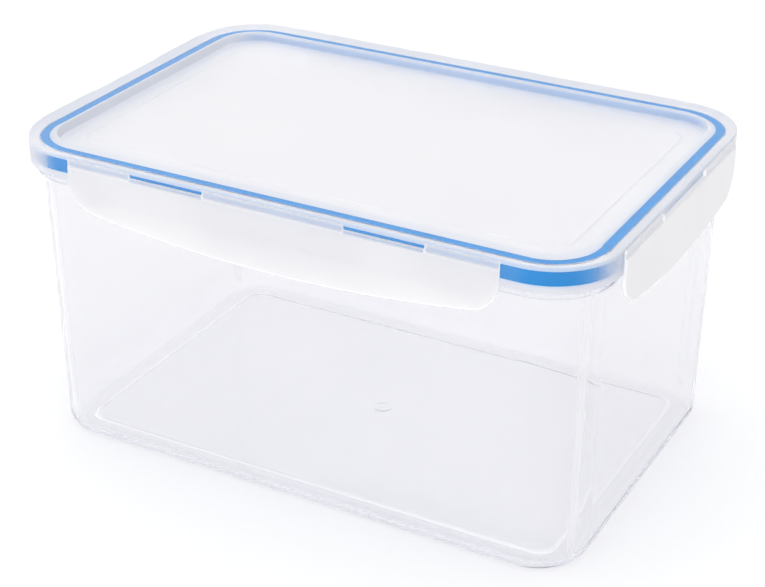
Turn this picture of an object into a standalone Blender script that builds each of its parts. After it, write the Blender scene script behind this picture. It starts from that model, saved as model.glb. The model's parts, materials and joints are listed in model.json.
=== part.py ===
"""Clear food storage box with a latched lid: tub, lid, seal ring and four hinged latches.

Metres, +Z up. The base stands on z = 0 with its centre at the origin, the long side lies along X.
The lid is shut. A latch turns outwards about its hinge line just under the lid's top edge.
"""
import math

import bmesh
import bpy
from mathutils import Vector

COLLECTION = "food_storage_box"
CUTTERS = "cutters"

# Lid: outer size, the rim round its edge and the sunken panel inside the rim
LID_LENGTH = 0.280
LID_WIDTH = 0.191
LID_TOP = 0.147
LID_CORNER = 0.031
SKIRT_BOTTOM = 0.1355
LID_WALL = 0.0017
RIM_WIDTH = 0.0125
PANEL_DEPTH = 0.0047
PANEL_DRAFT = 0.0006
RIM_EDGE_RADIUS = 0.0012

# Raised pad in the panel's middle, with a small sloping edge all round
PAD_HALF_LENGTH = 0.117
PAD_HALF_WIDTH = 0.0683
PAD_RISE = 0.0004
PAD_SLOPE = 0.0008

# Rib under the panel that plugs the tub's mouth, measured inwards from the lid's side
PLUG_INSET = 0.0109
PLUG_WIDTH = 0.0015
PLUG_BOTTOM = 0.1380

# Seal ring: rests between the tub's rim and the underside of the lid's rim
SEAL_INSET = 0.0051
SEAL_WIDTH = 0.0053
SEAL_BOTTOM = 0.1372
SEAL_EDGE_RADIUS = 0.0009

# Tub: straight tapered walls, wide round bottom edge, low foot ring, flange under the lid's skirt
BASE_HALF_LENGTH = 0.1329
BASE_HALF_WIDTH = 0.0875
TAPER_LENGTH = 0.0014
TAPER_WIDTH = 0.0027
TUB_TOP = 0.1369
TUB_CORNER = 0.0252
TUB_BOTTOM_RADIUS = 0.012
TUB_WALL = 0.0018
FOOT_WIDTH = 0.0045
FOOT_SLOPE = 0.0008
FOOT_HEIGHT = 0.0006
FLANGE_INSET = 0.0026
FLANGE_BOTTOM = 0.1316
FLANGE_TOP = 0.1350
FLANGE_ROOT = 0.0009

# Gate mark in the middle of the tub's floor
GATE_RADIUS = 0.0042
GATE_RISE = 0.0003

# Latch: a flap that hangs on its hinge strips close to the skirt and flares a little at its lower edge
CLEARANCE = 0.0003
LATCH_WALL = 0.0015
LATCH_TOP = 0.1464
LATCH_BOTTOM = 0.1170
LATCH_CORNER = 0.014
LATCH_FLARE = 0.0013
FLARE_TOP = 0.1300
HINGE_HEIGHT = 0.1462
HINGE_OUT = 0.00045
SLOT_BOTTOM = 0.1426
FLARE_STEPS = 6

LONG_HALF = 0.1023
LONG_SLOTS = ((-0.0701, -0.0333), (0.0333, 0.0701))
LONG_CROWN = 0.0060
LONG_GUSSETS = (-0.092, -0.0701, 0.0701, 0.092)
SHORT_HALF = 0.0650
SHORT_SLOTS = ((-0.0246, 0.0246),)
SHORT_CROWN = 0.0035
SHORT_GUSSETS = (-0.052, 0.052)

# Hook: the rib inside a latch that grips the tub's flange from below
HOOK_TOP = 0.1312
HOOK_REACH = 0.0035
HOOK_TIP_DROP = 0.0009
HOOK_ROOT_DROP = 0.0024
HOOK_END_GAP = 0.012
GUSSET_WIDTH = 0.0012
GUSSET_BOTTOM = 0.1210

SHARP_ANGLE = math.radians(40)
CORNER_SEGMENTS = 8
BOTTOM_SEGMENTS = 5
EMBED = 0.0008

CLEAR_COLOR = (0.90, 0.90, 0.93, 1.0)
LATCH_COLOR = (0.92, 0.92, 0.95, 1.0)
SEAL_COLOR = (0.05, 0.26, 0.66, 1.0)


def clear_scene():
    """Removes every object of the open scene."""
    for obj in list(bpy.data.objects):
        bpy.data.objects.remove(obj, do_unlink=True)


def collection(name):
    """Returns a new collection linked to the scene."""
    new = bpy.data.collections.new(name)
    bpy.context.scene.collection.children.link(new)
    return new


def material(name, color, roughness, transmission):
    """A plain plastic or rubber: colour, roughness and how much light it lets through."""
    mat = bpy.data.materials.new(name)
    mat.use_nodes = True
    shader = mat.node_tree.nodes["Principled BSDF"]
    shader.inputs["Base Color"].default_value = color
    shader.inputs["Roughness"].default_value = roughness
    shader.inputs["Metallic"].default_value = 0.0
    shader.inputs["Transmission Weight"].default_value = transmission
    return mat


def mesh_object(name, bm, target, mat=None):
    """Puts a bmesh into a new object of the target collection."""
    mesh = bpy.data.meshes.new(name)
    bmesh.ops.recalc_face_normals(bm, faces=bm.faces)
    bm.to_mesh(mesh)
    bm.free()
    obj = bpy.data.objects.new(name, mesh)
    target.objects.link(obj)
    if mat is not None:
        mesh.materials.append(mat)
    return obj


def helper(obj):
    """Marks an object as a cutter or a joined piece: wire in the view and never rendered."""
    obj.hide_render = True
    obj.display_type = "WIRE"
    return obj


def boolean(obj, operand, operation):
    """Adds an exact Boolean with another object, which then follows this one."""
    operand.parent = obj
    modifier = obj.modifiers.new(operand.name, "BOOLEAN")
    modifier.operation = operation
    modifier.solver = "EXACT"
    modifier.object = operand


def solidify(obj, thickness, offset):
    """Gives an open surface a wall: offset -1 grows it inwards, +1 outwards."""
    modifier = obj.modifiers.new("wall", "SOLIDIFY")
    modifier.thickness = thickness
    modifier.offset = offset
    modifier.use_even_offset = True


def edges_at(bm, height):
    """The sharp edges that lie level at a height."""
    level = [edge for edge in bm.edges if all(abs(v.co.z - height) < 1e-6 for v in edge.verts)]
    return [edge for edge in level if edge.calc_face_angle(0.0) > SHARP_ANGLE]


def face_at(bm, normal_z):
    """The large face of the block that points straight up (1) or down (-1)."""
    bm.normal_update()
    level = [face for face in bm.faces if face.normal.z * normal_z > 0.999]
    return max(level, key=lambda face: face.calc_area())


def inset(bm, face, width, depth=0.0):
    """Insets one face by a width, moves it along its normal by a depth, and returns the inner face."""
    bmesh.ops.inset_region(bm, faces=[face], thickness=width, depth=depth, use_even_offset=True)
    return face


def rounded_block(half_low, half_high, corner, z_low, z_high):
    """A box from z_low to z_high with rounded upright edges; its half sizes change from low to high."""
    bm = bmesh.new()
    bmesh.ops.create_cube(bm, size=2.0)
    for vert in bm.verts:
        upper = vert.co.z > 0
        half = half_high if upper else half_low
        vert.co = Vector((vert.co.x * half[0], vert.co.y * half[1], z_high if upper else z_low))
    upright = [e for e in bm.edges if abs(e.verts[0].co.z - e.verts[1].co.z) > 1e-6]
    bmesh.ops.bevel(bm, geom=upright, offset=corner, offset_type="OFFSET", segments=CORNER_SEGMENTS,
                    profile=0.5, affect="EDGES")
    return bm


def plain_block(half, corner, z_low, z_high):
    """A straight rounded box."""
    return rounded_block(half, half, corner, z_low, z_high)


def ring(name, half, corner, width, z_low, z_high, target, helpers, mat=None):
    """A closed band of a given width that runs inside a rounded rectangle."""
    band = mesh_object(name, plain_block(half, corner, z_low, z_high), target, mat)
    inner_half = (half[0] - width, half[1] - width)
    hole = plain_block(inner_half, corner - width, z_low - EMBED, z_high + EMBED)
    boolean(band, helper(mesh_object(name + "_hole", hole, helpers)), "DIFFERENCE")
    return band


def inset_half(inset_by):
    """Half sizes of the lid's outline moved inwards."""
    return LID_LENGTH / 2 - inset_by, LID_WIDTH / 2 - inset_by


def tub_half(height):
    """Half sizes of the tub's outer wall at a height."""
    share = height / TUB_TOP
    return BASE_HALF_LENGTH + TAPER_LENGTH * share, BASE_HALF_WIDTH + TAPER_WIDTH * share


def build_tub(parts, helpers, mat):
    """Tapered shell with a wide bottom radius, a foot ring under it and a flange round its mouth."""
    bm = rounded_block(tub_half(0.0), tub_half(TUB_TOP), TUB_CORNER, 0.0, TUB_TOP)
    bmesh.ops.delete(bm, geom=[face_at(bm, 1)], context="FACES_ONLY")
    bmesh.ops.bevel(bm, geom=edges_at(bm, 0.0), offset=TUB_BOTTOM_RADIUS, offset_type="OFFSET",
                    segments=BOTTOM_SEGMENTS, profile=0.5, affect="EDGES")
    floor = inset(bm, face_at(bm, -1), FOOT_WIDTH)
    inset(bm, floor, FOOT_SLOPE, -FOOT_HEIGHT)
    tub = mesh_object("tub", bm, parts, mat)
    solidify(tub, TUB_WALL, -1.0)

    flange_half = inset_half(FLANGE_INSET)
    wall_half = tub_half(FLANGE_TOP)
    hole_half = (wall_half[0] - FLANGE_ROOT, wall_half[1] - FLANGE_ROOT)
    flange = mesh_object("flange", plain_block(flange_half, LID_CORNER - FLANGE_INSET,
                                               FLANGE_BOTTOM, FLANGE_TOP), helpers)
    hole = plain_block(hole_half, TUB_CORNER - FLANGE_ROOT, FLANGE_BOTTOM - EMBED, FLANGE_TOP + EMBED)
    boolean(flange, helper(mesh_object("flange_hole", hole, helpers)), "DIFFERENCE")
    boolean(tub, helper(flange), "UNION")

    gate = bmesh.new()
    floor_top = FOOT_HEIGHT + TUB_WALL
    bmesh.ops.create_cone(gate, cap_ends=True, segments=24, radius1=GATE_RADIUS, radius2=GATE_RADIUS,
                          depth=2 * GATE_RISE)
    bmesh.ops.translate(gate, verts=gate.verts, vec=Vector((0.0, 0.0, floor_top)))
    boolean(tub, helper(mesh_object("gate_mark", gate, helpers)), "UNION")
    return tub


def build_lid(parts, helpers, mat):
    """Rim and skirt round a sunken panel with a raised pad, as one sheet with a wall, and the plug rib."""
    bm = plain_block(inset_half(0.0), LID_CORNER, SKIRT_BOTTOM, LID_TOP)
    bmesh.ops.delete(bm, geom=[face_at(bm, -1)], context="FACES_ONLY")
    panel = inset(bm, face_at(bm, 1), RIM_WIDTH)
    inset(bm, panel, PANEL_DRAFT, -PANEL_DEPTH)
    panel_half_length = LID_LENGTH / 2 - RIM_WIDTH - PANEL_DRAFT
    panel_half_width = LID_WIDTH / 2 - RIM_WIDTH - PANEL_DRAFT
    border = panel_half_length - PAD_HALF_LENGTH
    inset(bm, panel, border)
    squeeze = PAD_HALF_WIDTH / (panel_half_width - border)
    bmesh.ops.scale(bm, vec=Vector((1.0, squeeze, 1.0)), verts=panel.verts)
    inset(bm, panel, PAD_SLOPE, PAD_RISE)
    bmesh.ops.bevel(bm, geom=edges_at(bm, LID_TOP), offset=RIM_EDGE_RADIUS, offset_type="OFFSET", segments=2,
                    profile=0.5, affect="EDGES")
    lid = mesh_object("lid", bm, parts, mat)
    solidify(lid, LID_WALL, -1.0)

    panel_under = LID_TOP - PANEL_DEPTH - LID_WALL
    plug = ring("plug", inset_half(PLUG_INSET), LID_CORNER - PLUG_INSET, PLUG_WIDTH,
                PLUG_BOTTOM, panel_under + EMBED, helpers, helpers)
    boolean(lid, helper(plug), "UNION")
    return lid


def build_seal(parts, helpers, mat):
    """Rubber ring with rounded edges under the lid's rim."""
    top = LID_TOP - LID_WALL - CLEARANCE
    seal = ring("seal", inset_half(SEAL_INSET), LID_CORNER - SEAL_INSET, SEAL_WIDTH,
                SEAL_BOTTOM, top, parts, helpers, mat)
    bevel = seal.modifiers.new("edges", "BEVEL")
    bevel.width = SEAL_EDGE_RADIUS
    bevel.segments = 2
    bevel.limit_method = "ANGLE"
    bevel.angle_limit = SHARP_ANGLE
    return seal


def latch_outline(half_length, slots, crown):
    """Outline of a latch seen from outside, as (along, height): crowned lower edge, round corners, slots."""
    slope = math.atan(2 * crown / (half_length - LATCH_CORNER))
    bend = half_length - LATCH_CORNER * (1 - math.sin(slope))
    centre = (bend - LATCH_CORNER * math.sin(slope), LATCH_BOTTOM + crown + LATCH_CORNER * math.cos(slope))
    lower = []
    for step in range(11):
        along = bend * step / 10
        lower.append((along, LATCH_BOTTOM + crown * (along / bend) ** 2))
    for step in range(1, 8):
        angle = slope + (math.pi / 2 - slope) * step / 7
        lower.append((centre[0] + LATCH_CORNER * math.sin(angle), centre[1] - LATCH_CORNER * math.cos(angle)))
    left = [(-along, height) for along, height in reversed(lower[1:])]
    top = [(half_length, LATCH_TOP)]
    for low, high in reversed(slots):
        top += [(high, LATCH_TOP), (high, SLOT_BOTTOM), (low, SLOT_BOTTOM), (low, LATCH_TOP)]
    top.append((-half_length, LATCH_TOP))
    return left + lower + top


def outline_block(name, points, depth, target):
    """A flat outline in the XZ plane, drawn as a 2D curve, given a depth along Y and made a mesh."""
    curve = bpy.data.curves.new(name, "CURVE")
    curve.dimensions = "2D"
    curve.fill_mode = "BOTH"
    curve.extrude = depth / 2
    spline = curve.splines.new("POLY")
    spline.points.add(len(points) - 1)
    for point, (along, height) in zip(spline.points, points):
        point.co = (along, height, 0.0, 1.0)
    spline.use_cyclic_u = True
    drawn = bpy.data.objects.new(name, curve)
    target.objects.link(drawn)
    drawn.rotation_euler = (math.pi / 2, 0.0, 0.0)
    bpy.context.view_layer.update()
    evaluated = drawn.evaluated_get(bpy.context.evaluated_depsgraph_get())
    mesh = bpy.data.meshes.new_from_object(evaluated)
    bm = bmesh.new()
    bm.from_mesh(mesh)
    bmesh.ops.transform(bm, matrix=drawn.matrix_world, verts=bm.verts)
    bmesh.ops.remove_doubles(bm, verts=bm.verts, dist=1e-6)
    bpy.data.objects.remove(drawn, do_unlink=True)
    bpy.data.meshes.remove(mesh)
    return mesh_object(name, bm, target)


def latch_profile():
    """The inner face of a latch from top to bottom, as (outwards from the skirt, height)."""
    points = [(CLEARANCE, LATCH_TOP), (CLEARANCE, FLARE_TOP)]
    for step in range(1, FLARE_STEPS + 1):
        share = step / FLARE_STEPS
        height = FLARE_TOP + (LATCH_BOTTOM - EMBED - FLARE_TOP) * share
        points.append((CLEARANCE + LATCH_FLARE * share ** 2, height))
    return points


def wedge(name, along, width, outer, top, tip, tip_drop, root_drop, target):
    """A rib inside the latch: a block from the flap to its tip, with an underside that slopes up to the tip."""
    bm = bmesh.new()
    bmesh.ops.create_cube(bm, size=2.0)
    for vert in bm.verts:
        at_root = vert.co.y < 0
        drop = root_drop if at_root else tip_drop
        height = top if vert.co.z > 0 else top - drop
        vert.co = Vector((along + vert.co.x * width / 2, -outer if at_root else tip, height))
    return mesh_object(name, bm, target)


def build_latch(name, half_length, slots, crown, gussets, turn, distance, parts, helpers, mat):
    """One latch. It is drawn as the front one, with its origin on the hinge line, and turned into place."""
    bm = bmesh.new()
    verts = [bm.verts.new((-half_length - EMBED, -out, height)) for out, height in latch_profile()]
    edges = [bm.edges.new(pair) for pair in zip(verts, verts[1:])]
    swept = bmesh.ops.extrude_edge_only(bm, edges=edges)
    moved = [item for item in swept["geom"] if isinstance(item, bmesh.types.BMVert)]
    bmesh.ops.translate(bm, verts=moved, vec=Vector((2 * (half_length + EMBED), 0.0, 0.0)))
    flap = mesh_object(name, bm, parts, mat)
    faces_out = flap.data.polygons[0].normal.y < 0
    solidify(flap, LATCH_WALL, 1.0 if faces_out else -1.0)

    outline = latch_outline(half_length, slots, crown)
    boolean(flap, helper(outline_block(name + "_outline", outline, 20 * LATCH_WALL, helpers)), "INTERSECT")

    root = CLEARANCE + EMBED
    hook = wedge(name + "_hook", 0.0, 2 * (half_length - HOOK_END_GAP), root, HOOK_TOP, HOOK_REACH,
                 HOOK_TIP_DROP, HOOK_ROOT_DROP, helpers)
    boolean(flap, helper(hook), "UNION")
    for number, along in enumerate(gussets):
        gusset = wedge(f"{name}_gusset_{number}", along, GUSSET_WIDTH, root, HOOK_TOP - EMBED / 2,
                       HOOK_REACH - 2 * EMBED, HOOK_TIP_DROP, HOOK_TOP - GUSSET_BOTTOM, helpers)
        boolean(flap, helper(gusset), "UNION")

    hinge = Vector((0.0, -HINGE_OUT, HINGE_HEIGHT))
    for obj in [flap] + list(flap.children):
        for vert in obj.data.vertices:
            vert.co -= hinge
    outwards = distance + HINGE_OUT
    flap.location = (outwards * math.sin(turn), -outwards * math.cos(turn), HINGE_HEIGHT)
    flap.rotation_euler = (0.0, 0.0, turn)
    return flap


def main():
    """Builds the seven pieces."""
    clear_scene()
    parts = collection(COLLECTION)
    helpers = collection(CUTTERS)
    clear_plastic = material("clear_plastic", CLEAR_COLOR, 0.12, 0.9)
    latch_plastic = material("latch_plastic", LATCH_COLOR, 0.2, 0.8)
    seal_rubber = material("seal_rubber", SEAL_COLOR, 0.45, 0.0)

    build_tub(parts, helpers, clear_plastic)
    build_lid(parts, helpers, clear_plastic)
    build_seal(parts, helpers, seal_rubber)
    for name, turn in (("latch_front", 0.0), ("latch_back", math.pi)):
        build_latch(name, LONG_HALF, LONG_SLOTS, LONG_CROWN, LONG_GUSSETS, turn, LID_WIDTH / 2,
                    parts, helpers, latch_plastic)
    for name, turn in (("latch_right", math.pi / 2), ("latch_left", -math.pi / 2)):
        build_latch(name, SHORT_HALF, SHORT_SLOTS, SHORT_CROWN, SHORT_GUSSETS, turn, LID_LENGTH / 2,
                    parts, helpers, latch_plastic)


main()
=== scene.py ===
"""Looks of an empty food storage box in clear plastic, with a latched lid and a blue seal ring.

Metres, +Z up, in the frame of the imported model. The long side lies along X and its front faces -Y.
The seven pieces of the frame are replaced by smooth surfaces of the same form.
"""
import json
import logging
import math
from dataclasses import dataclass, field
from enum import Enum

import bpy
import numpy as np
from mathutils import Matrix, Vector

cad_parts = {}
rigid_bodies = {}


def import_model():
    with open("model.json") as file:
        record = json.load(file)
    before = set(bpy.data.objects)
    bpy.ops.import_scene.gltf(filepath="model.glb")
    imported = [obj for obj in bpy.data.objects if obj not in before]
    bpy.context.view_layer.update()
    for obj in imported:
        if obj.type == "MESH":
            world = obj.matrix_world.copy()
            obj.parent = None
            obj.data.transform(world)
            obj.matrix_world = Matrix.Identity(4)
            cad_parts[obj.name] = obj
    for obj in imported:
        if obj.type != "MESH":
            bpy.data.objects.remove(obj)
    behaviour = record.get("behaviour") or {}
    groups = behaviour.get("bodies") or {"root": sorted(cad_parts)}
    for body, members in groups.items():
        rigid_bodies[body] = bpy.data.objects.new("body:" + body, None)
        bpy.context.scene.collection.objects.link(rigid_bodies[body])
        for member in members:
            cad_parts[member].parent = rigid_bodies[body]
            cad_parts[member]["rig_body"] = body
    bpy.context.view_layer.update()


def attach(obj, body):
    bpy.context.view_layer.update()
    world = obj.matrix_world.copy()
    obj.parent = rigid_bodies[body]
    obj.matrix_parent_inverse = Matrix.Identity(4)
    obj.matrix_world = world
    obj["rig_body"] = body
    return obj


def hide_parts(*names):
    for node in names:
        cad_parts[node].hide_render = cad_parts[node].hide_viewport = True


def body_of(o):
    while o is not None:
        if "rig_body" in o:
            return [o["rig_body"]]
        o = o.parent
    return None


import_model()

IMAGE_WIDTH = 765
SENSOR_WIDTH = 36.0
SHARP_ANGLE = math.radians(38)
HAZE_LAYER = "haze"
CORNER_STEPS = 18
SIDE_SHARES = np.array([0.008, 0.06, 0.2, 0.35, 0.5, 0.65, 0.8, 0.94, 0.992])

log = logging.getLogger("storage_box")


class Side(Enum):
    """The four sides of the box, each with the turn that carries the front one there."""

    FRONT = 0.0
    RIGHT = math.pi / 2
    BACK = math.pi
    LEFT = -math.pi / 2


# Shapes


def fillet(points: np.ndarray, radii: np.ndarray, steps: int, closed: bool = False) -> np.ndarray:
    """Rounds the corners of one or many polylines into arcs with a short straight lead on both sides.

    At a corner P with A and B at the distance d before and after it, the arc is the conic
    ((1-t)^2 A + 2 w t (1-t) P + t^2 B) / ((1-t)^2 + 2 w t (1-t) + t^2), where w is the cosine of half the
    turning angle, so that it is part of a circle. d is the radius times the tangent of half that angle,
    at least 0.3 of the radius and at most 0.42 of the shorter side.

    Args:
        points: Corners, shape (..., corners, values). The first two values span the plane that is measured,
            and the others follow in proportion.
        radii: One radius for each corner.
        steps: Segments of each arc.
        closed: True for a loop. An open line keeps its two ends.

    Returns:
        The rounded lines, shape (..., points, values).
    """
    before = np.roll(points, 1, axis=-2) - points
    after = np.roll(points, -1, axis=-2) - points
    reach_before = np.linalg.norm(before[..., :2], axis=-1, keepdims=True)
    reach_after = np.linalg.norm(after[..., :2], axis=-1, keepdims=True)
    unit_before = before / np.maximum(reach_before, 1e-9)
    unit_after = after / np.maximum(reach_after, 1e-9)
    cosine = np.clip(-(unit_before[..., :2] * unit_after[..., :2]).sum(-1, keepdims=True), -1, 1)
    half_turn = np.arccos(cosine) / 2
    limit = 0.42 * np.minimum(reach_before, reach_after)
    distance = np.minimum(radii[:, None] * np.maximum(np.tan(np.minimum(half_turn, 1.4)), 0.3), limit)
    lead = np.minimum(1.35 * distance, 0.49 * np.minimum(reach_before, reach_after))
    start = (points + unit_before * distance)[..., None, :]
    end = (points + unit_after * distance)[..., None, :]
    corner = points[..., None, :]
    t = np.linspace(0.0, 1.0, steps + 1)[:, None]
    weight = np.cos(half_turn)[..., None, :]
    share = (1 - t) ** 2 + 2 * weight * t * (1 - t) + t ** 2
    arc = ((1 - t) ** 2 * start + 2 * weight * t * (1 - t) * corner + t ** 2 * end) / share
    entry = (points + unit_before * lead)[..., None, :]
    leave = (points + unit_after * lead)[..., None, :]
    rounded = np.concatenate([entry, arc, leave], axis=-2)
    if closed:
        return rounded.reshape(*points.shape[:-2], -1, points.shape[-1])
    inner = rounded[..., 1:-1, :, :].reshape(*points.shape[:-2], -1, points.shape[-1])
    return np.concatenate([points[..., :1, :], inner, points[..., -1:, :]], axis=-2)


def ring_stack(profile: np.ndarray) -> np.ndarray:
    """Carries a profile round a rounded rectangle.

    Each row of the profile is one ring: its four corners are quarter circles, and its sides are straight
    lines between them. The rings run counter-clockwise seen from above.

    Args:
        profile: Rows of half length, height, half width and corner radius. Further values aren't read.

    Returns:
        Points of shape (rows, columns, 3).
    """
    half_x, height, half_y, corner = profile[:, :4].T
    turn = np.linspace(0.0, math.pi / 2, CORNER_STEPS + 1)
    angles = np.arange(4)[:, None] * (math.pi / 2) + turn
    centre_x = np.array([1, -1, -1, 1]) * (half_x - corner)[:, None]
    centre_y = np.array([1, 1, -1, -1]) * (half_y - corner)[:, None]
    radius = corner[:, None, None]
    bends = np.stack([centre_x[..., None] + radius * np.cos(angles),
                      centre_y[..., None] + radius * np.sin(angles)], axis=-1)
    start = bends[:, :, -1:]
    end = np.roll(bends, -1, axis=1)[:, :, :1]
    sides = start + (end - start) * SIDE_SHARES[:, None]
    plan = np.concatenate([bends, sides], axis=2).reshape(len(profile), -1, 2)
    level = np.broadcast_to(height[:, None, None], plan.shape[:2] + (1,))
    return np.concatenate([plan, level], axis=2)


def ring_normals() -> np.ndarray:
    """Direction that each column of ring_stack faces, as an angle counter-clockwise from +X.

    Each quarter has the corner's angles, from 0 to a right angle on, and then the straight side, which
    keeps the last of them.

    Returns:
        Angles of shape (columns,).
    """
    turn = np.linspace(0.0, math.pi / 2, CORNER_STEPS + 1)
    quarter = np.concatenate([turn, np.full(len(SIDE_SHARES), math.pi / 2)])
    return (np.arange(4)[:, None] * (math.pi / 2) + quarter).ravel()


def smooth(values: np.ndarray, low: float, high: float) -> np.ndarray:
    """Rises smoothly from 0 at low to 1 at high: 3t^2 - 2t^3 with t the share of the way."""
    share = np.clip((values - low) / (high - low), 0.0, 1.0)
    return share * share * (3 - 2 * share)


def grid_object(name: str, points: np.ndarray, material: bpy.types.Material, caps: bool = True,
                close_rows: bool = False, haze: np.ndarray | None = None) -> bpy.types.Object:
    """Makes a smooth mesh from a grid whose columns close into loops.

    A quad joins each pair of neighbours, in the order (i, j), (i, j+1), (i+1, j+1), (i+1, j).

    Args:
        name: Name of the new object.
        points: Grid of shape (rows, columns, 3).
        material: Finish of the whole piece.
        caps: True closes the first and the last loop with one flat face each.
        close_rows: True joins the last row to the first.
        haze: How milky each point is, for a finish that reads it, as in ClearPlastic. Shape (rows, columns).

    Returns:
        The object, at the origin.
    """
    rows, columns = points.shape[:2]
    index = np.arange(rows * columns).reshape(rows, columns)
    across = np.roll(index, -1, axis=1)
    below = np.roll(index, -1, axis=0)
    both = np.roll(across, -1, axis=0)
    quads = np.stack([index, across, both, below], axis=-1)
    if not close_rows:
        quads = quads[:-1]
    faces = quads.reshape(-1, 4).tolist()
    if caps and not close_rows:
        faces += [index[0, ::-1].tolist(), index[-1].tolist()]
    mesh = bpy.data.meshes.new(name)
    mesh.from_pydata(points.reshape(-1, 3).tolist(), [], faces)
    mesh.update()
    mesh.shade_smooth()
    mesh.set_sharp_from_angle(angle=SHARP_ANGLE)
    mesh.materials.append(material)
    if haze is not None:
        layer = mesh.attributes.new(HAZE_LAYER, "FLOAT", "POINT")
        layer.data.foreach_set("value", haze.ravel().astype(np.float32))
    piece = bpy.data.objects.new(name, mesh)
    bpy.context.scene.collection.objects.link(piece)
    return piece


# Shader tools


class Socket:
    """A shader value that takes part in Python arithmetic, where each operation adds one Math node."""

    def __init__(self, shader: "Shader", socket: bpy.types.NodeSocket) -> None:
        """Wraps one output socket."""
        self.shader = shader
        self.socket = socket

    def math(self, operation: str, *values: "Socket | float") -> "Socket":
        """Adds a Math node on the given values and returns its result."""
        node = self.shader.node("ShaderNodeMath", {"operation": operation}, dict(enumerate(values)))
        return Socket(self.shader, node.outputs[0])

    def __add__(self, other: "Socket | float") -> "Socket":
        """self + other."""
        return self.math("ADD", self, other)

    __radd__ = __add__

    def __sub__(self, other: "Socket | float") -> "Socket":
        """self - other."""
        return self.math("SUBTRACT", self, other)

    def __rsub__(self, other: float) -> "Socket":
        """other - self."""
        return self.math("SUBTRACT", other, self)

    def __mul__(self, other: "Socket | float") -> "Socket":
        """self * other."""
        return self.math("MULTIPLY", self, other)

    __rmul__ = __mul__

    def at_least(self, other: "Socket | float") -> "Socket":
        """The larger of two values."""
        return self.math("MAXIMUM", self, other)

    def step(self, low: float, high: float) -> "Socket":
        """Rises smoothly from 0 at low to 1 at high."""
        node = self.shader.node("ShaderNodeMapRange", {"interpolation_type": "SMOOTHSTEP"},
                                {"Value": self, "From Min": low, "From Max": high})
        return Socket(self.shader, node.outputs[0])


class Shader:
    """Node tree of a material or a world, filled by one method."""

    def __init__(self, owner: bpy.types.Material | bpy.types.World) -> None:
        """Empties the owner's node tree and keeps it."""
        owner.use_nodes = True
        self.tree = owner.node_tree
        self.tree.nodes.clear()

    def node(self, kind: str, settings: dict | None = None, inputs: dict | None = None) -> bpy.types.Node:
        """Adds a node.

        Args:
            kind: Blender's name for the type of node.
            settings: Attributes of the node, set first.
            inputs: Values or links of its sockets, by name or number.

        Returns:
            The new node.
        """
        node = self.tree.nodes.new(kind)
        for name, value in (settings or {}).items():
            setattr(node, name, value)
        for name, value in (inputs or {}).items():
            if isinstance(value, Socket):
                value = value.socket
            if isinstance(value, bpy.types.NodeSocket):
                self.tree.links.new(value, node.inputs[name])
            else:
                node.inputs[name].default_value = value
        return node

    def output(self, kind: str, settings: dict | None = None, inputs: dict | None = None,
               name: str | int = 0) -> Socket:
        """Adds a node and returns one of its outputs."""
        return Socket(self, self.node(kind, settings, inputs).outputs[name])

    def place(self) -> Socket:
        """The point of the surface, in the object's own metres."""
        return self.output("ShaderNodeTexCoord", name="Object")

    def noise(self, size: float, detail: float) -> Socket:
        """Soft noise from 0 to 1.

        Args:
            size: Typical width of a patch, in metres.
            detail: Octaves of finer noise.

        Returns:
            The noise as a value.
        """
        return self.output("ShaderNodeTexNoise", None,
                           {"Vector": self.place(), "Scale": 1 / size, "Detail": detail}, name="Fac")

    def blend(self, low: "tuple | Socket", high: "tuple | Socket", share: Socket) -> Socket:
        """A colour between two others, by a share from 0 to 1."""
        node = self.node("ShaderNodeMix", {"data_type": "RGBA"}, {"Factor": share})
        for socket, colour in zip([s for s in node.inputs if s.type == "RGBA"], (low, high)):
            if isinstance(colour, Socket):
                self.tree.links.new(colour.socket, socket)
            else:
                socket.default_value = (*colour, 1.0)
        return Socket(self, [s for s in node.outputs if s.type == "RGBA"][0])


# Finishes


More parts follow.
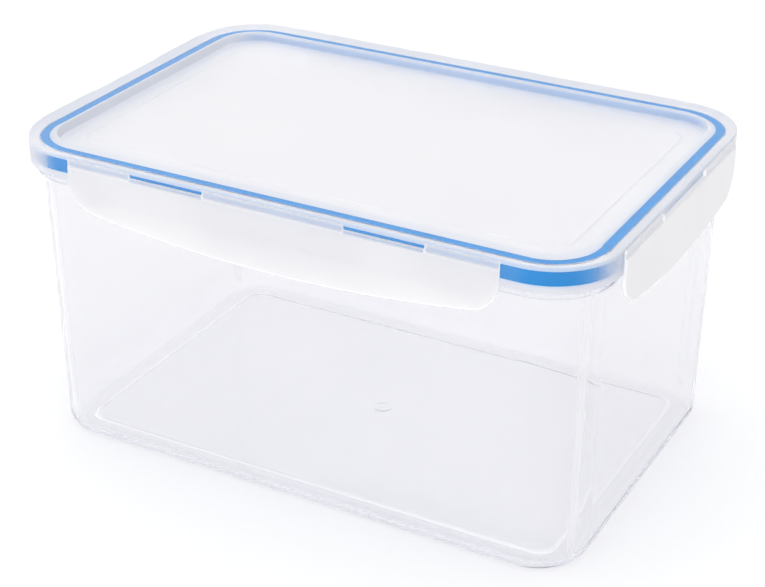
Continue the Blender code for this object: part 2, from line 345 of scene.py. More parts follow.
@dataclass(frozen=True)
class ClearPlastic:
    """Moulded see-through plastic with faint clouds, a slow ripple in its surface and milky zones.

    The mesh carries how milky each point is: clear at 0, all milk at 1. In the highlight band the milk turns
    almost white, a painted highlight, and above 1, in the shade-line band, it turns to the darker grey of a
    painted shade line. Clear plastic gets rougher in frost_band. Light that goes a long way inside the plastic
    is absorbed, so thick edges look darker and more lilac than thin walls.
    """

    name: str
    clear: tuple[float, float, float]
    cloud: tuple[float, float, float]
    milk: tuple[float, float, float]
    pale_milk: tuple[float, float, float]
    roughness: float
    # Near-white milk of painted highlight lines, and darker grey milk of painted shade lines, with their bands
    # of haze.
    highlight_milk: tuple[float, float, float] = (0.99, 0.99, 0.99)
    shade_line_milk: tuple[float, float, float] = (0.70, 0.695, 0.725)
    highlight_band: tuple[float, float] = (0.8, 1.0)
    shade_line_band: tuple[float, float] = (1.05, 1.3)
    frost_band: tuple[float, float] = (0.05, 0.20)
    milk_gloss: float = 0.35
    milky_roughness: float = 0.12
    spread: float = 0.02
    lamp_tint: tuple[float, float, float] = (0.968, 0.968, 0.971)
    depth_colour: tuple[float, float, float] = (0.80, 0.795, 0.865)
    depth_density: float = 60.0
    ripple: float = 0.00002
    ripple_size: float = 0.035
    grain: float = 0.0000012
    grain_size: float = 0.0009
    cloud_size: float = 0.05
    refraction: float = 1.49
    mirror: float = 0.5
    glint: tuple[float, float, float] = (1.0, 1.0, 1.0)

    def make(self) -> bpy.types.Material:
        """Builds the material.

        Light from lamps and from pale surfaces passes straight through, tinted, so that what stands under
        the plastic is lit through it. Every other ray is bent and mirrored by the plastic, or meets its milk.

        Returns:
            The material.
        """
        material = bpy.data.materials.new(self.name)
        shader = Shader(material)
        clouds = shader.noise(self.cloud_size, 3.0).step(0.35, 0.65)
        speckle = shader.noise(self.grain_size, 1.0)
        haze = shader.output("ShaderNodeAttribute", {"attribute_name": HAZE_LAYER}, name="Fac")
        uneven = self.spread * (clouds + speckle - 1.0)
        frosted = haze.step(*self.frost_band) * (self.milky_roughness - self.roughness)
        roughness = self.roughness + uneven + frosted
        height = shader.noise(self.ripple_size, 1.0) * self.ripple + speckle * self.grain
        normal = shader.output("ShaderNodeBump", None, {"Strength": 1.0, "Distance": 1.0, "Height": height})
        glass = shader.node("ShaderNodeBsdfPrincipled", None, {
            "Base Color": shader.blend(self.clear, self.cloud, clouds), "Roughness": roughness,
            "IOR": self.refraction, "Specular IOR Level": self.mirror, "Specular Tint": (*self.glint, 1.0),
            "Transmission Weight": 1.0, "Normal": normal})
        cream = shader.blend(self.milk, self.pale_milk, clouds)
        # Painted highlight: the milk turns almost white near haze 1. Painted shade: above 1 it turns to a
        # darker grey line.
        cream = shader.blend(cream, self.highlight_milk, haze.step(*self.highlight_band))
        cream = shader.blend(cream, self.shade_line_milk, haze.step(*self.shade_line_band))
        milk = shader.node("ShaderNodeBsdfPrincipled", None, {
            "Base Color": cream, "Roughness": self.milk_gloss + uneven, "Normal": normal})
        body = shader.node("ShaderNodeMixShader", None, {
            0: haze * (1 + uneven * 4), 1: glass.outputs[0], 2: milk.outputs[0]})
        passing = shader.node("ShaderNodeBsdfTransparent", None, {"Color": (*self.lamp_tint, 1.0)})
        paths = shader.node("ShaderNodeLightPath")
        shadow = Socket(shader, paths.outputs["Is Shadow Ray"])
        soft = Socket(shader, paths.outputs["Is Diffuse Ray"])
        mixed = shader.node("ShaderNodeMixShader", None, {
            0: shadow.at_least(soft), 1: body.outputs[0], 2: passing.outputs[0]})
        depth = shader.node("ShaderNodeVolumeAbsorption", None, {
            "Color": (*self.depth_colour, 1.0), "Density": self.depth_density})
        shader.node("ShaderNodeOutputMaterial", None, {"Surface": mixed.outputs[0], "Volume": depth.outputs[0]})
        return material


@dataclass(frozen=True)
class SealRubber:
    """Smooth blue silicone rubber with a faint bloom on it."""

    name: str = "seal_rubber"
    deep: tuple[float, float, float] = (0.0, 0.258, 0.69)
    pale: tuple[float, float, float] = (0.002, 0.288, 0.74)
    roughness: float = 0.42
    bloom_size: float = 0.012
    grain: float = 0.00002
    grain_size: float = 0.0007

    def make(self) -> bpy.types.Material:
        """Builds the material."""
        material = bpy.data.materials.new(self.name)
        shader = Shader(material)
        bloom = shader.noise(self.bloom_size, 3.0).step(0.3, 0.7)
        speckle = shader.noise(self.grain_size, 1.0)
        normal = shader.output("ShaderNodeBump", None,
                               {"Strength": 1.0, "Distance": 1.0, "Height": speckle * self.grain})
        body = shader.node("ShaderNodeBsdfPrincipled", None, {
            "Base Color": shader.blend(self.deep, self.pale, bloom),
            "Roughness": self.roughness + 0.12 * bloom, "Specular IOR Level": 0.1, "Normal": normal})
        shader.node("ShaderNodeOutputMaterial", None, {"Surface": body.outputs[0]})
        return material


@dataclass(frozen=True)
class StudioPaper:
    """Matt white paper under the box."""

    name: str = "studio_paper"
    low: tuple[float, float, float] = (0.90, 0.90, 0.90)
    high: tuple[float, float, float] = (0.92, 0.92, 0.92)
    fibre_size: float = 0.004

    def make(self) -> bpy.types.Material:
        """Builds the material."""
        material = bpy.data.materials.new(self.name)
        shader = Shader(material)
        colour = shader.blend(self.low, self.high, shader.noise(self.fibre_size, 2.0))
        body = shader.node("ShaderNodeBsdfPrincipled", None, {
            "Base Color": colour, "Roughness": 1.0, "Specular IOR Level": 0.0})
        shader.node("ShaderNodeOutputMaterial", None, {"Surface": body.outputs[0]})
        return material


TUB_PLASTIC = ClearPlastic("tub_plastic", clear=(0.995, 0.994, 0.997), cloud=(0.989, 0.988, 0.992),
                           milk=(0.95, 0.947, 0.965), pale_milk=(0.98, 0.978, 0.99), roughness=0.03,
                           spread=0.01, lamp_tint=(0.956, 0.957, 0.959), depth_density=80.0, mirror=0.4,
                           frost_band=(0.20, 0.40))
LID_PLASTIC = ClearPlastic("lid_plastic", clear=(0.990, 0.989, 0.995), cloud=(0.982, 0.981, 0.988),
                           milk=(0.84, 0.837, 0.862), pale_milk=(0.87, 0.868, 0.887), roughness=0.03,
                           milky_roughness=0.40, spread=0.01, depth_density=30.0, mirror=0.25,
                           glint=(0.45, 0.45, 0.45))
LATCH_PLASTIC = ClearPlastic("latch_plastic", clear=(0.992, 0.991, 0.995), cloud=(0.984, 0.983, 0.989),
                             milk=(0.75, 0.747, 0.775), pale_milk=(0.78, 0.778, 0.80),
                             roughness=0.08, milky_roughness=0.35)


# Box


@dataclass
class LidOutline:
    """The lid's outline, from which the lid, the seal and the tub's flange are measured inwards."""

    half_length: float = 0.140
    half_width: float = 0.0955
    corner: float = 0.031

    def at(self, inset: float, height: float) -> tuple[float, float, float, float]:
        """One corner of a profile: half length, height, half width and corner radius."""
        return (self.half_length - inset, height, self.half_width - inset, self.corner - inset)


@dataclass
class Tub:
    """Tapered tub with a wide round bottom edge, a low foot ring and a flange under the lid's skirt."""

    outline: LidOutline
    base_half_length: float = 0.1329
    base_half_width: float = 0.0875
    taper_length: float = 0.0014
    taper_width: float = 0.0027
    top: float = 0.1369
    corner: float = 0.0252
    bottom_radius: float = 0.012
    wall: float = 0.0018
    foot_width: float = 0.0008
    foot_slope: float = 0.0018
    foot_height: float = 0.0006
    flat_run: float = 0.004
    lip_radius: float = 0.0007
    flange_inset: float = 0.0026
    flange_bottom: float = 0.1316
    flange_top: float = 0.1350
    flange_radius: float = 0.0006
    gate_radius: float = 0.0046
    gate_rise: float = 0.00013
    wall_haze: float = 0.18
    bend_haze: float = 0.16
    inner_bend_haze: float = 0.0
    # Painted highlight and painted shade: a pale line and a darker line round the floor's crease, fainter on
    # the near sides set by near_share and far_side.
    crease_highlight_haze: float = 1.0
    crease_shade_haze: float = 1.3
    near_share: float = 0.62
    far_side: float = math.radians(135)
    floor_corner: float = 0.008
    floor_haze: float = 0.01
    # Painted highlight: a whiter upright streak on each rounded corner, placed by the turn and height limits
    # below.
    highlight_streak_haze: float = 0.42
    streak_start: tuple[float, float] = (math.radians(54), math.radians(62))
    streak_end: tuple[float, float] = (math.radians(63), math.radians(71))
    streak_rise: tuple[float, float] = (0.002, 0.012)

    def at(self, inset: float, height: float) -> tuple[float, float, float, float]:
        """A profile corner measured inwards from the outer wall, whose half sizes grow with the height."""
        share = height / self.top
        half_x = self.base_half_length + self.taper_length * share - inset
        half_y = self.base_half_width + self.taper_width * share - inset
        return (half_x, height, half_y, self.corner - inset)

    def floor_at(self, inset: float, height: float) -> tuple[float, float, float, float]:
        """A profile corner of the floor, whose corners are tighter than those of the wall."""
        half_x, height, half_y, _ = self.at(inset, height)
        return (half_x, height, half_y, self.floor_corner)

    def profile(self) -> np.ndarray:
        """Section from the underside's middle out, up the wall, over the flange and lip, and down inside.

        Returns:
            Rounded profile rows for ring_stack.
        """
        foot_out = self.bottom_radius + self.foot_width
        foot_in = foot_out + self.foot_slope
        floor = self.foot_height + self.wall
        middle = (foot_out + foot_in) / 2
        small, tiny = 0.0004, 0.0002
        lip, flange = self.lip_radius, self.flange_radius
        bend_top = self.bottom_radius * 1.3
        half_up = (self.wall + floor) / 2
        wall, bend, clear = self.wall_haze, self.bend_haze, self.floor_haze
        corners = [
            (self.floor_at(foot_in + self.flat_run, self.foot_height), small, clear),
            (self.floor_at(foot_in, self.foot_height), small, clear),
            (self.floor_at(foot_out, 0.0), small, bend),
            (self.at(0.0, 0.0), self.bottom_radius, bend),
            (self.at(0.0, bend_top), small, wall),
            (self.at(0.0, self.flange_bottom), flange, wall),
            (self.outline.at(self.flange_inset, self.flange_bottom), flange, bend),
            (self.outline.at(self.flange_inset, self.flange_top), flange, bend),
            (self.at(0.0, self.flange_top), small, wall),
            (self.at(0.0, self.top), lip, wall),
            (self.at(self.wall, self.top), lip, wall),
            (self.at(self.wall, bend_top), small, wall),
            (self.at(self.wall, self.wall), self.bottom_radius - self.wall, self.inner_bend_haze),
            (self.floor_at(foot_out, self.wall), tiny, self.inner_bend_haze),
            # Painted shade line, then painted highlight line, round the floor's crease.
            (self.floor_at(foot_out + tiny, self.wall), tiny, self.crease_shade_haze),
            (self.floor_at(middle, half_up), tiny, self.crease_shade_haze),
            (self.floor_at(middle + tiny, half_up + tiny / 3), tiny, self.crease_highlight_haze),
            (self.floor_at(foot_in, floor), tiny, self.crease_highlight_haze),
            (self.floor_at(foot_in + tiny, floor), tiny, clear),
            (self.floor_at(foot_in + self.flat_run, floor), small, clear),
        ]
        points = np.array([(*corner, haze) for corner, _, haze in corners])
        radii = np.array([radius for _, radius, _ in corners])
        return fillet(points, radii, 9)

    def milkiness(self, profile: np.ndarray, extra_rows: int) -> np.ndarray:
        """How milky each point is: the profile's own value, and more in one upright streak at each corner.

        The upright streak at each corner is a painted highlight. The line around the floor is a painted shade
        line outside and a painted highlight line inside at the back and on the left. On the front and on the
        right it is one fainter painted highlight line.

        Args:
            profile: Rounded profile rows, whose last value is the milkiness.
            extra_rows: Rings that follow the profile, as milky as its last row.

        Returns:
            Values of shape (rows, columns).
        """
        turn = ring_normals() % (math.pi / 2)
        # Painted highlight: the whiter upright streak on each corner.
        streak = smooth(turn, *self.streak_start) * (1 - smooth(turn, *self.streak_end))
        rows = np.concatenate([profile[:, 4], np.full(extra_rows, profile[-1, 4])])
        upright = np.concatenate([smooth(profile[:, 1], *self.streak_rise), np.zeros(extra_rows)])
        share = upright[:, None] * streak
        # The crease's painted shade and highlight lines keep full strength towards far_side and fade on the
        # near sides.
        far = smooth(np.cos(ring_normals() - self.far_side), -0.3, 0.3)
        line = (rows >= self.crease_highlight_haze)[:, None] * (1 - self.near_share) * (1 - far)
        return rows[:, None] * (1 - line) * (1 - share) + self.highlight_streak_haze * share

    def gate_mark(self, last: np.ndarray) -> np.ndarray:
        """Carries the floor's last ring in to a round moulding mark.

        The rings turn from the rounded rectangle into circles by a weighted mean, flat on the floor. Then a
        low ring and a dot follow, as circles of given radius and height.

        Args:
            last: The last ring, shape (columns, 3).

        Returns:
            Rings of shape (rows, columns, 3).
        """
        angle = np.arctan2(last[:, 1], last[:, 0])
        circle = np.stack([np.cos(angle), np.sin(angle)], axis=-1)
        share = np.array([0.3, 0.6, 0.85, 1.0])[:, None, None]
        plan = (1 - share) * last[None, :, :2] + share * 1.3 * self.gate_radius * circle
        section = np.array([(1.08, 0.0), (1.0, 0.0), (0.97, 0.7), (0.90, 1.0), (0.83, 1.0), (0.76, 0.6),
                            (0.72, 0.0), (0.60, 0.0), (0.25, 0.0), (0.20, 0.5), (0.14, 1.0), (0.05, 1.0)])
        mark = section[:, 0, None, None] * self.gate_radius * circle
        lift = np.concatenate([np.zeros(len(share)), section[:, 1] * self.gate_rise])
        plan = np.concatenate([plan, mark])
        level = np.broadcast_to((last[0, 2] + lift)[:, None, None], plan.shape[:2] + (1,))
        return np.concatenate([plan, level], axis=2)

    def build(self, material: bpy.types.Material) -> bpy.types.Object:
        """Makes the tub and lets it stand for its node."""
        profile = self.profile()
        rings = ring_stack(profile)
        mark = self.gate_mark(rings[-1])
        haze = self.milkiness(profile, len(mark))
        piece = grid_object("tub_shell", np.concatenate([rings, mark]), material, haze=haze)
        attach(piece, "box")
        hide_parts("tub")
        return piece


@dataclass
class Lid:
    """Lid with a skirt, a flat rim over the seal, a sunken panel with a low pad, and a plug rib below."""

    outline: LidOutline
    top: float = 0.147
    skirt_bottom: float = 0.1355
    wall: float = 0.0017
    rim_width: float = 0.0125
    panel_depth: float = 0.0047
    panel_draft: float = 0.0006
    edge_radius: float = 0.0012
    pad_half_length: float = 0.117
    pad_half_width: float = 0.0683
    pad_corner: float = 0.0085
    pad_rise: float = 0.0004
    pad_slope: float = 0.0008
    plug_inset: float = 0.0109
    plug_width: float = 0.0015
    plug_bottom: float = 0.1380
    channel_wall: float = 0.0047
    channel_bottom: float = 0.1374
    panel_haze: float = 0.34
    # Painted highlight: milky band round the edge of the rim's plate.
    rim_edge_highlight_haze: float = 0.60
    front_haze: float = 0.01
    # Painted reflection: the skirt turns milky away from the clear front right corner.
    side_reflection_haze: float = 0.55
    # Painted highlight: milky low edge of the skirt.
    low_edge_highlight_haze: float = 0.55
    low_top: float = 0.1390
    # Painted highlight: milky line on the rim inside the seal's window.
    inner_line_highlight_haze: float = 0.60
    inner_wall_haze: float = 0.85
    back_wall_haze: float = 0.50
    middle_haze: float = 0.10
    clear_side: float = math.radians(295)
    clear_fade: tuple[float, float] = (math.radians(14), math.radians(80))
    window: tuple[float, float] = (0.0056, 0.0104)
    window_shift: float = 0.0036
    window_side: float = math.radians(298)
    soft: float = 0.0002
    blur: float = 0.0001
    flat_run: float = 0.004

    def pad(self, outset: float, height: float) -> tuple[float, float, float, float]:
        """A profile corner measured outwards from the pad's edge."""
        return (self.pad_half_length + outset, height, self.pad_half_width + outset, self.pad_corner + outset)

    def profile(self) -> np.ndarray:
        """Section from the underside's middle out over the plug rib, round the skirt and back over the top.

        Returns:
            Rounded profile rows for ring_stack.
        """
        panel = self.top - self.panel_depth
        panel_under = panel - self.wall
        rim_under = self.top - self.wall
        plug_in = self.plug_inset + self.plug_width
        channel = self.rim_width - self.wall
        at = self.outline.at
        frost = self.panel_haze
        under = [
            (self.pad(-self.flat_run, panel_under + self.pad_rise), 0.0003, frost),
            (self.pad(0.0, panel_under + self.pad_rise), 0.0003, frost),
            (self.pad(self.pad_slope, panel_under), 0.0003, frost),
            (at(plug_in, panel_under), 0.0003, frost),
            (at(plug_in, self.plug_bottom), 0.0005, frost),
            (at(self.plug_inset, self.plug_bottom), 0.0005, frost),
            (at(self.plug_inset, panel_under), 0.0002, 0.0),
            (at(channel, rim_under), 0.0005, 0.0),
            (at(self.channel_wall, rim_under), 0.0004, 0.0),
            (at(self.channel_wall, self.channel_bottom), 0.0004, 0.0),
            (at(self.wall, self.channel_bottom), 0.0004, 0.0),
            (at(self.wall, self.skirt_bottom), 0.0005, 0.0),
            (at(0.0, self.skirt_bottom), 0.0005, 0.0),
            (at(0.0, self.low_top - self.soft), self.blur, 0.0),
            (at(0.0, self.low_top + self.soft), self.blur, 0.0),
            (at(0.0, rim_under - self.soft), self.blur, 0.0),
            (at(0.0, rim_under + self.soft), self.blur, 0.0),
            (at(0.0, self.top), self.edge_radius, 0.0),
            (at(self.edge_radius + self.soft, self.top), self.blur, 0.0),
        ]
        rim = np.linspace(self.edge_radius + 0.0005, self.rim_width - 0.0012, 28)
        over = [
            (at(self.rim_width - 0.0010, self.top), 0.0001, 0.0),
            (at(self.rim_width, self.top), 0.0008, 0.0),
            (at(self.rim_width + self.panel_draft, panel), 0.0008, 0.0),
            (at(self.rim_width + self.panel_draft + 0.0012, panel), 0.0001, frost),
            (self.pad(self.pad_slope, panel), 0.0003, frost),
            (self.pad(0.0, panel + self.pad_rise), 0.0003, frost),
            (self.pad(-self.flat_run, panel + self.pad_rise), 0.0003, frost),
        ]
        lines = [fillet(np.array([(*corner, haze) for corner, _, haze in corners]),
                        np.array([radius for _, radius, _ in corners]), 6) for corners in (under, over)]
        flat = np.array([(*at(inset, self.top), 0.0) for inset in rim])
        return np.concatenate([lines[0], flat, lines[1]])

    def milkiness(self, profile: np.ndarray) -> np.ndarray:
        """How milky each point is: the profile's own value below and on the panel, and zones round the rim.

        The skirt is clear around the front right corner and turns milky towards the other sides, a painted
        reflection, and a little milky in the middle of each side. Its low edge and the edge of the rim's plate
        are milky all round, as painted highlights. On top of the rim a clear window lies over the seal, moved
        towards the front right. The rim is milky beside it on both sides, as painted highlight lines, and its
        inner wall is milkier in front than at the back.

        Args:
            profile: Rounded profile rows, whose last value is the milkiness.

        Returns:
            Values of shape (rows, columns).
        """
        normal = ring_normals()
        inset = (self.outline.half_length - profile[:, 0])[:, None]
        height = profile[:, 1:2]
        plate = self.top - self.wall
        turned = np.abs((normal - self.clear_side + math.pi) % (2 * math.pi) - math.pi)
        # Painted reflection: the skirt turns milky away from the clear front right corner.
        face = self.front_haze + (self.side_reflection_haze - self.front_haze) * smooth(turned, *self.clear_fade)
        side = np.concatenate([np.zeros(CORNER_STEPS + 1), (np.abs(SIDE_SHARES - 0.5) < 0.45).astype(float)])
        face = np.maximum(face, self.middle_haze * np.tile(side, 4))
        # Painted highlights: milky low edge of the skirt and milky edge of the rim's plate.
        low = 1 - smooth(height, self.low_top - self.blur, self.low_top + self.blur)
        face = face + (self.low_edge_highlight_haze - face) * low
        face = face + (self.rim_edge_highlight_haze - face) * smooth(height, plate - self.blur, plate + self.blur)
        shift = self.window_shift * np.cos(normal - self.window_side)
        outer, inner = (edge - shift for edge in self.window)
        rim = face * (1 - smooth(inset - outer, -0.0003, 0.0003))
        # Painted highlight: milky line on the rim inside the seal's window.
        rim = rim + self.inner_line_highlight_haze * smooth(inset - inner, -0.0003, 0.0003)
        back = smooth(np.sin(normal), 0.3, 0.95)
        wall = self.inner_wall_haze + (self.back_wall_haze - self.inner_wall_haze) * back
        rim = rim + (wall - rim) * smooth(inset, self.rim_width - 0.0006, self.rim_width)
        foot = self.rim_width + self.panel_draft
        own = smooth(inset, foot + 0.0002, foot + 0.0009)
        outside = np.arange(len(profile))[:, None] >= np.argmax(inset < 0.0001)
        return np.where(outside, rim * (1 - own) + profile[:, 4:5] * own, profile[:, 4:5])

    def build(self, material: bpy.types.Material) -> bpy.types.Object:
        """Makes the lid and lets it stand for its node."""
        profile = self.profile()
        piece = grid_object("lid_cover", ring_stack(profile), material, haze=self.milkiness(profile))
        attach(piece, "box")
        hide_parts("lid")
        return piece


@dataclass
class Seal:
    """Silicone ring between the tub's lip and the underside of the lid's rim."""

    outline: LidOutline
    inset: float = 0.0050
    width: float = 0.0056
    bottom: float = 0.1372
    top: float = 0.1441
    edge_radius: float = 0.0004

    def build(self, material: bpy.types.Material) -> bpy.types.Object:
        """Makes the ring and lets it stand for its node."""
        at = self.outline.at
        inner = self.inset + self.width
        points = np.array([at(self.inset, self.bottom), at(self.inset, self.top),
                           at(inner, self.top), at(inner, self.bottom)])
        section = fillet(points, np.full(4, self.edge_radius), 7, closed=True)
        piece = grid_object("seal_ring", ring_stack(section), material, close_rows=True)
        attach(piece, "box")
        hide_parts("seal")
        return piece


# Latches


@dataclass
class Latch:
    """A flap on thin hinge strips, with a crowned lower edge, round corners, slots and a hook inside."""

    side: Side
    distance: float
    half_length: float
    slots: tuple[tuple[float, float], ...]
    crown: float
    gussets: tuple[float, ...]
    strip_haze: float
    flap_haze: float
    # Painted highlight: near-white milk at the two ends of the latch.
    end_highlight_haze: float
    clearance: float = 0.0003
    wall: float = 0.0015
    strip_wall: float = 0.0007
    strip_edge: float = 0.0004
    top: float = 0.1464
    ledge: float = 0.1426
    slot_floor: float = 0.1441
    bottom: float = 0.1170
    corner: float = 0.014
    flare: float = 0.0013
    flare_top: float = 0.1300
    hook_top: float = 0.1312
    hook_reach: float = 0.0035
    hook_tip_drop: float = 0.0009
    hook_root_drop: float = 0.0024
    hook_end_gap: float = 0.012
    gusset_width: float = 0.0012
    gusset_reach: float = 0.0019
    gusset_bottom: float = 0.1210
    end_round: float = 0.0006
    # Reach of the painted highlight at the strips' cut ends.
    cut_highlight_reach: float = 0.00028
    soft: float = 0.00018

    @property
    def node(self) -> str:
        """Name of the node that the latch stands for."""
        return f"latch_{self.side.name.lower()}"

    @property
    def slope(self) -> float:
        """Angle at which the crowned edge meets the corner arc."""
        return math.atan(2 * self.crown / (self.half_length - self.corner))

    @property
    def bend(self) -> float:
        """Distance from the middle at which the corner arc begins."""
        return self.half_length - self.corner * (1 - math.sin(self.slope))

    def stations(self) -> np.ndarray:
        """Places along the latch: even steps, the corner arcs by angle, and close steps where the form changes.

        Returns:
            Sorted distances from the middle.
        """
        centre = self.bend - self.corner * math.sin(self.slope)
        angle = np.linspace(self.slope, math.pi / 2, 22)
        arc = centre + self.corner * np.sin(angle)
        end = self.half_length - self.end_round * (1 - np.cos(np.linspace(0.0, math.pi / 2, 6)))
        even = np.linspace(0.0, self.bend, 36)
        close = np.array([-2.2, -1.0, -0.5, 0.0, 0.5, 1.0, 2.2]) * self.soft
        edges = np.abs(np.array(self.slots)).ravel()
        edges = np.concatenate([edges, np.abs(self.gussets) - self.gusset_width / 2,
                                np.abs(self.gussets) + self.gusset_width / 2,
                                [self.half_length - self.hook_end_gap]])
        steps = (edges[:, None] + close).ravel()
        half = np.unique(np.round(np.concatenate([arc, end, even, steps]), 6))
        half = half[half <= self.half_length]
        return np.unique(np.concatenate([-half, half]))

    def lower_edge(self, along: np.ndarray) -> np.ndarray:
        """Height of the lower edge: a parabola up to the bend, then the arc of a circle tangent to it."""
        distance = np.abs(along)
        parabola = self.bottom + self.crown * (distance / self.bend) ** 2
        centre = self.bend - self.corner * math.sin(self.slope)
        height = self.bottom + self.crown + self.corner * math.cos(self.slope)
        drop = np.sqrt(np.maximum(self.corner ** 2 - (distance - centre) ** 2, 0.0))
        return np.where(distance <= self.bend, parabola, height - drop)

    def band(self, along: np.ndarray, low: float, high: float) -> np.ndarray:
        """A mask that is 1 between two places and falls smoothly to 0 outside them."""
        rise = np.clip((along - low) / (2 * self.soft) + 0.5, 0, 1)
        fall = np.clip((high - along) / (2 * self.soft) + 0.5, 0, 1)
        mask = np.minimum(rise, fall)
        return mask * mask * (3 - 2 * mask)

    def sections(self, along: np.ndarray) -> np.ndarray:
        """Section of the latch at each place, as loops of (outwards, height).

        The loop runs down the hinge strip and the outer face, round the lower lip, up the inner face and
        round the hook. Masks along the latch lower the strip in the slots, draw the hook out and pull the
        gussets down.

        Args:
            along: Places along the latch.

        Returns:
            Loops of shape (places, points, 2).
        """
        low = self.lower_edge(along)
        slot = sum(self.band(along, *ends) for ends in self.slots)
        reach_end = self.half_length - self.hook_end_gap
        hook = self.band(along, -reach_end, reach_end)
        half_gusset = self.gusset_width / 2
        gusset = sum(self.band(along, at - half_gusset, at + half_gusset) for at in self.gussets)
        strip_top = self.top - (self.top - self.slot_floor) * slot
        swell = self.strip_edge + (self.wall - self.strip_wall - self.strip_edge) * slot
        inner = np.full_like(along, self.clearance)
        outer = inner + self.wall
        strip = inner + self.strip_wall
        reach = np.maximum(np.maximum(self.hook_reach * hook, self.gusset_reach * gusset), 0.00006)
        root_drop = self.hook_root_drop
        root = self.hook_top - root_drop + (self.gusset_bottom - self.hook_top + root_drop) * gusset
        middle = np.minimum(reach, self.gusset_reach)
        under = self.hook_top - root_drop + (root_drop - self.hook_tip_drop) * middle / self.hook_reach
        tip = np.full_like(along, self.hook_top - self.hook_tip_drop)
        ledge = np.full_like(along, self.ledge)
        hook_top = np.full_like(along, self.hook_top)
        gap = 0.0012
        corners = [
            (strip + swell, strip_top, 0.0003),
            (strip + swell, strip_top - 0.0006 + 0.0003 * slot, 0.0003),
            (strip + swell * slot, ledge + 0.0022 - 0.0019 * slot, 0.0004),
            (strip + swell * slot, ledge + 0.0008 - 0.0006 * slot, 0.0004),
            (outer, ledge, 0.0005),
            (outer, low, 0.0006),
            (inner, low, 0.0006),
            (inner, np.maximum(root, low + gap), 0.0003),
            (-middle, np.maximum(under, low + 1.2 * gap), 0.0003),
            (-reach, np.maximum(tip, low + 1.4 * gap), 0.0003),
            (-reach, np.maximum(hook_top, low + 1.6 * gap), 0.0003),
            (inner, np.maximum(hook_top, low + 1.8 * gap), 0.0003),
            (inner, ledge - 0.0010, 0.0002),
            (inner, strip_top, 0.0002),
        ]
        points = np.stack([np.stack([out, height], axis=-1) for out, height, _ in corners], axis=1)
        radii = np.array([radius for _, _, radius in corners])
        return fillet(points, radii, 4, closed=True)

    def milkiness(self, along: np.ndarray, height: np.ndarray) -> np.ndarray:
        """How milky each point is: most on the flap, its lower lip and the cut ends, little in the strips.

        Its lower lip, the cut ends of the strips and the ends of the latch turn near-white, as painted
        highlights.

        Args:
            along: Places along the latch.
            height: Heights of the points, shape (places, points).

        Returns:
            Values from 0 to 1, shape (places, points).
        """
        edges = np.array([edge for slot in self.slots for edge in slot])
        near = np.abs(along[:, None] - edges).min(axis=1) < self.cut_highlight_reach
        end = smooth(np.abs(along), self.half_length - 0.0008, self.half_length - 0.0003)
        flap = np.where(height < self.ledge + 0.0002, self.flap_haze, self.strip_haze)
        # Painted highlights: near-white along the lower lip, at the strips' cut ends and at the latch's ends.
        lip = 1 - smooth(height - self.lower_edge(along)[:, None], 0.0006, 0.0012)
        cut = near[:, None] & (height > self.ledge + 0.00025)
        return np.maximum(np.maximum(flap, lip), np.maximum(cut, self.end_highlight_haze * end[:, None]))

    def points(self) -> np.ndarray:
        """The latch's surface as a grid of points, turned to its side.

        The straight sections are bent outwards by the square of the depth below the flare's top, and near
        the two ends they shrink towards their middle along a quarter circle, which rounds the end.

        Returns:
            Grid of shape (places, points, 3).
        """
        along = self.stations()
        loops = self.sections(along)
        out, height = loops[..., 0], loops[..., 1]
        depth = np.clip((self.flare_top - height) / (self.flare_top - self.bottom), 0, 1.2)
        left = np.clip((self.half_length - np.abs(along)) / self.end_round, 0, 1)
        swell = (0.25 + 0.75 * np.sqrt(1 - (1 - left) ** 2))[:, None]
        middle = self.clearance + self.wall / 2
        out = middle + (out - middle) * swell + self.flare * depth ** 2
        place = np.broadcast_to(along[:, None], out.shape)
        away = -(self.distance + out)
        cosine, sine = math.cos(self.side.value), math.sin(self.side.value)
        return np.stack([place * cosine - away * sine, place * sine + away * cosine, height], axis=-1)

    def build(self, material: bpy.types.Material) -> bpy.types.Object:
        """Makes the latch and lets it stand for its node."""
        points = self.points()
        haze = self.milkiness(self.stations(), points[..., 2])
        piece = grid_object(f"{self.node}_flap", points, material, haze=haze)
        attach(piece, f"{self.side.name.lower()}_latch")
        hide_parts(self.node)
        return piece


@dataclass
class Latches:
    """The four latches: two long ones in front and behind, two short ones at the ends."""

    outline: LidOutline
    pieces: list[Latch] = field(default_factory=list)

    def __post_init__(self) -> None:
        """Sets the sizes of each latch."""
        for side in (Side.FRONT, Side.BACK):
            self.pieces.append(Latch(
                side, distance=self.outline.half_width, half_length=0.1023, crown=0.0060,
                slots=((-0.0701, -0.0333), (0.0333, 0.0701)), gussets=(-0.092, -0.0701, 0.0701, 0.092),
                strip_haze=0.22, flap_haze=0.78, end_highlight_haze=0.90))
        for side in (Side.RIGHT, Side.LEFT):
            self.pieces.append(Latch(
                side, distance=self.outline.half_length, half_length=0.0650, crown=0.0035,
                slots=((-0.0246, 0.0246),), gussets=(-0.052, 0.052),
                strip_haze=0.50, flap_haze=0.89, end_highlight_haze=0.93))

    def build(self, material: bpy.types.Material) -> list[bpy.types.Object]:
        """Makes the four latches."""
        return [latch.build(material) for latch in self.pieces]


# Studio


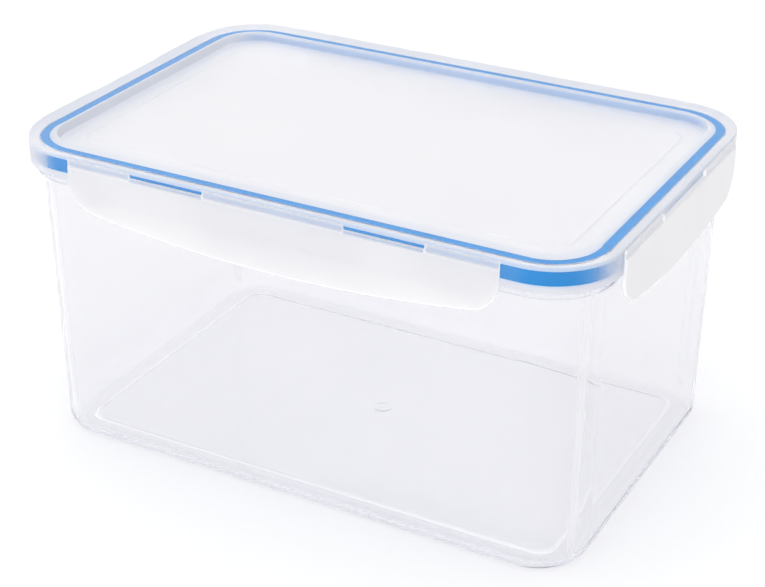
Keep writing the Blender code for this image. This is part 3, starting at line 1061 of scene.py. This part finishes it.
@dataclass
class Studio:
    """White paper, a tent of light that is brightest overhead, and the camera."""

    azimuth: float = math.radians(28.434)
    elevation: float = math.radians(27.420)
    roll: float = math.radians(0.267)
    aim: tuple[float, float, float] = (0.0055, -0.0115, 0.070)
    distance: float = 0.8294
    focal_pixels: float = 1806.6
    floor_size: float = 12.0
    tent_level: float = 0.66
    overhead_gain: float = 0.58
    left_gain: float = 0.36
    front_gain: float = 0.30
    back_loss: float = 0.12
    right_loss: float = 0.08

    def floor(self) -> None:
        """Lays the paper."""
        half = self.floor_size / 2
        mesh = bpy.data.meshes.new("studio_floor")
        corners = [(-half, -half, 0.0), (half, -half, 0.0), (half, half, 0.0), (-half, half, 0.0)]
        mesh.from_pydata(corners, [], [(0, 1, 2, 3)])
        mesh.materials.append(StudioPaper().make())
        floor = bpy.data.objects.new("studio_floor", mesh)
        bpy.context.scene.collection.objects.link(floor)

    def tent(self) -> None:
        """Sets the light all round: brightest overhead, a little brighter in front and on the left."""
        world = bpy.data.worlds.new("studio_tent")
        bpy.context.scene.world = world
        shader = Shader(world)
        direction = shader.output("ShaderNodeTexCoord", name="Generated")
        parts = shader.node("ShaderNodeSeparateXYZ", None, {0: direction})
        x, y, z = (Socket(shader, socket) for socket in parts.outputs)
        overhead = z.step(0.3, 0.95)
        left = 1 - x.step(-0.8, 0.6)
        behind = y.step(0.1, 0.8)
        front = 1 - y.step(-0.8, 0.0)
        right = x.step(0.3, 0.9)
        bright = self.tent_level + self.overhead_gain * overhead + self.left_gain * left
        strength = bright + self.front_gain * front - self.back_loss * behind - self.right_loss * right
        sky = shader.node("ShaderNodeBackground", None, {"Color": (1.0, 1.0, 1.0, 1.0), "Strength": strength})
        shader.node("ShaderNodeOutputWorld", None, {"Surface": sky.outputs[0]})

    def camera(self) -> None:
        """Places the camera by its azimuth, elevation and distance from the point that it looks at."""
        data = bpy.data.cameras.new("photo_view")
        data.sensor_fit = "HORIZONTAL"
        data.sensor_width = SENSOR_WIDTH
        data.lens = self.focal_pixels * SENSOR_WIDTH / IMAGE_WIDTH
        data.clip_start = 0.01
        data.clip_end = 50.0
        camera = bpy.data.objects.new("photo_view", data)
        bpy.context.scene.collection.objects.link(camera)
        flat = math.cos(self.elevation)
        back = Vector((math.sin(self.azimuth) * flat, -math.cos(self.azimuth) * flat, math.sin(self.elevation)))
        right = Vector((math.cos(self.azimuth), math.sin(self.azimuth), 0.0))
        up = back.cross(right)
        tilted_right = right * math.cos(self.roll) + up * math.sin(self.roll)
        tilted_up = up * math.cos(self.roll) - right * math.sin(self.roll)
        turn = Matrix((tilted_right, tilted_up, back)).transposed().to_4x4()
        camera.matrix_world = Matrix.Translation(Vector(self.aim) + back * self.distance) @ turn
        bpy.context.scene.camera = camera

    def light_paths(self) -> None:
        """Lets light cross all the clear walls, and shows the colours as they are."""
        scene = bpy.context.scene
        scene.view_settings.view_transform = "Standard"
        scene.view_settings.look = "None"
        scene.cycles.max_bounces = 22
        scene.cycles.transmission_bounces = 18
        scene.cycles.transparent_max_bounces = 30
        scene.cycles.glossy_bounces = 8


def main() -> None:
    """Builds the box and the studio, and reports each piece."""
    logging.basicConfig(level=logging.INFO, format="%(message)s")
    outline = LidOutline()
    latch_plastic = LATCH_PLASTIC.make()
    pieces = [Tub(outline).build(TUB_PLASTIC.make()), Lid(outline).build(LID_PLASTIC.make()),
              Seal(outline).build(SealRubber().make())]
    pieces += Latches(outline).build(latch_plastic)
    for piece in pieces:
        log.info("%s: %d faces on body %s", piece.name, len(piece.data.polygons), body_of(piece))
    studio = Studio()
    studio.floor()
    studio.tent()
    studio.camera()
    studio.light_paths()


if __name__ == "__main__":
    main()
